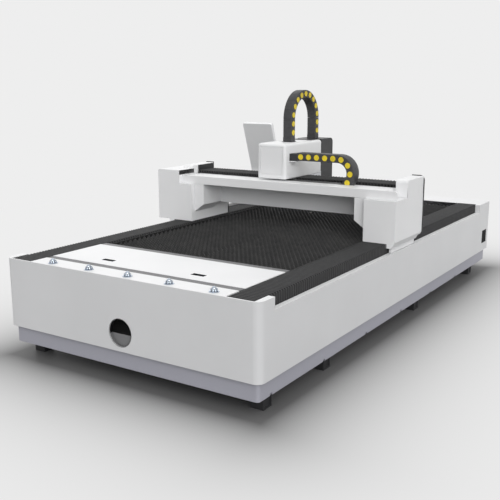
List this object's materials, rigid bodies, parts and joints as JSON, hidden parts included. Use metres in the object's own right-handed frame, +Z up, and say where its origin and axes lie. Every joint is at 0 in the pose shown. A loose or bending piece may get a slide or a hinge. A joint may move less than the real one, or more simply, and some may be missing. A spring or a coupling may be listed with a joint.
{
  "type": "fiber laser cutting machine",
  "caption": "Flat-bed sheet cutting machine: white casing with toothed slats, a travelling gantry, a carriage with drag chains, a cutting head and a console.",
  "frame": {"origin": "floor, at the middle of the part's footprint box", "axes": "+X to the right seen from the front, +Y from the front face to the rear deck, +Z up"},
  "size_m": [2.932, 4.87, 2.014],
  "materials": {
    "white_paint": "satin",
    "grey_paint": "satin",
    "black_paint": "satin",
    "slat_steel": "dull",
    "bright_steel": "ground",
    "chrome": "polished",
    "bellows_cloth": "coated",
    "chain_plastic": "matt",
    "screen": "gloss",
    "red_plastic": "gloss",
    "green_plastic": "gloss"
  },
  "bodies": {
    "bed": {"bed_frame": "grey_paint", "feet": "black_paint", "plinth": "grey_paint", "casing": "white_paint", "front_strip": "white_paint", "cover_panel": "white_paint", "ball_cups": "chrome", "slats": "slat_steel", "slat_frame": "slat_steel", "slag_tray": "grey_paint", "duct_collar": "black_paint", "vent_grille": "black_paint", "y_rails": "bright_steel", "y_racks": "bright_steel", "front_bellows": "bellows_cloth", "rear_bellows": "bellows_cloth", "y_chain_tray": "grey_paint", "y_chain_lower": "chain_plastic", "console_post": "white_paint", "console_desk": "white_paint", "console_housing": "grey_paint", "console_screen": "screen"},
    "gantry": {"leg_left": "white_paint", "leg_right": "white_paint", "saddles": "grey_paint", "bearing_blocks": "bright_steel", "cable_box": "white_paint", "beam_hoods": "white_paint", "rear_plates": "black_paint", "beam_brackets": "white_paint", "beam": "grey_paint", "beam_tray": "white_paint", "x_rails": "bright_steel", "x_rack": "bright_steel", "y_motors": "black_paint", "beam_bellows_left": "bellows_cloth", "beam_bellows_right": "bellows_cloth", "x_chain_lower": "chain_plastic", "y_chain_upper": "chain_plastic"},
    "carriage": {"carriage_cover": "white_paint", "carriage_panel": "white_paint", "x_saddle": "bright_steel", "chain_brackets": "black_paint", "x_chain_upper": "chain_plastic", "z_chain": "chain_plastic", "z_plate": "black_paint"},
    "lift": {"z_slide": "black_paint", "cutting_head": "bright_steel", "nozzle": "chrome"},
    "pinion_left": {"pinion_left": "bright_steel"},
    "pinion_right": {"pinion_right": "bright_steel"},
    "x_chain_bend": {"x_chain_bend": "chain_plastic"},
    "y_chain_bend": {"y_chain_bend": "chain_plastic"},
    "e_stop": {"e_stop": "red_plastic"},
    "start_button": {"start_button": "green_plastic"},
    "ball_1": {"ball_1": "chrome"},
    "ball_2": {"ball_2": "chrome"},
    "ball_3": {"ball_3": "chrome"},
    "ball_4": {"ball_4": "chrome"},
    "ball_5": {"ball_5": "chrome"}
  },
  "joints": [
    {"name": "y_axis", "type": "slide", "parent": "bed", "child": "gantry", "axis": [0, 1, 0], "range_m": [-1.65, 1.4], "deforming": ["front_bellows", "rear_bellows", "y_chain_upper", "y_chain_lower"]},
    {"name": "x_axis", "type": "slide", "parent": "gantry", "child": "carriage", "axis": [1, 0, 0], "range_m": [-0.74, 0.73], "deforming": ["beam_bellows_left", "beam_bellows_right", "x_chain_upper", "x_chain_lower"]},
    {"name": "z_axis", "type": "slide", "parent": "carriage", "child": "lift", "axis": [0, 0, 1], "range_m": [-0.02, 0.1], "deforming": ["z_chain"]},
    {"name": "x_chain_roll", "type": "slide", "parent": "gantry", "child": "x_chain_bend", "axis": [1, 0, 0], "range_m": [-0.37, 0.365]},
    {"name": "y_chain_roll", "type": "slide", "parent": "bed", "child": "y_chain_bend", "axis": [0, 1, 0], "range_m": [-0.825, 0.7]},
    {"name": "pinion_left_spin", "type": "hinge", "parent": "gantry", "child": "pinion_left", "pos_m": [-0.736, -0.23, 0.702], "axis": [0, 0, 1], "range_deg": [-2630.1, 2232.2]},
    {"name": "pinion_right_spin", "type": "hinge", "parent": "gantry", "child": "pinion_right", "pos_m": [1.284, -0.23, 0.702], "axis": [0, 0, 1], "range_deg": [-2232.2, 2630.1]},
    {"name": "ball_1_roll", "type": "hinge", "parent": "bed", "child": "ball_1", "pos_m": [-0.426, -2.373, 0.799], "axis": [1, 0, 0], "continuous": true},
    {"name": "ball_2_roll", "type": "hinge", "parent": "bed", "child": "ball_2", "pos_m": [-0.06, -2.373, 0.799], "axis": [1, 0, 0], "continuous": true},
    {"name": "ball_3_roll", "type": "hinge", "parent": "bed", "child": "ball_3", "pos_m": [0.306, -2.373, 0.799], "axis": [1, 0, 0], "continuous": true},
    {"name": "ball_4_roll", "type": "hinge", "parent": "bed", "child": "ball_4", "pos_m": [0.672, -2.373, 0.799], "axis": [1, 0, 0], "continuous": true},
    {"name": "ball_5_roll", "type": "hinge", "parent": "bed", "child": "ball_5", "pos_m": [1.038, -2.373, 0.799], "axis": [1, 0, 0], "continuous": true},
    {"name": "e_stop_push", "type": "slide", "parent": "bed", "child": "e_stop", "axis": [0, 0, -1], "range_m": [0, 0.006]},
    {"name": "start_push", "type": "slide", "parent": "bed", "child": "start_button", "axis": [0, 0, -1], "range_m": [0, 0.004], "stiffness_N_per_m": 600, "springref_m": -0.004}
  ],
  "couplings": [
    {"joint": "x_chain_roll", "follows": "x_axis", "ratio": 0.5},
    {"joint": "y_chain_roll", "follows": "y_axis", "ratio": 0.5},
    {"joint": "pinion_left_spin", "follows": "y_axis", "rad_per_m": 27.778},
    {"joint": "pinion_right_spin", "follows": "y_axis", "rad_per_m": -27.778}
  ]
}
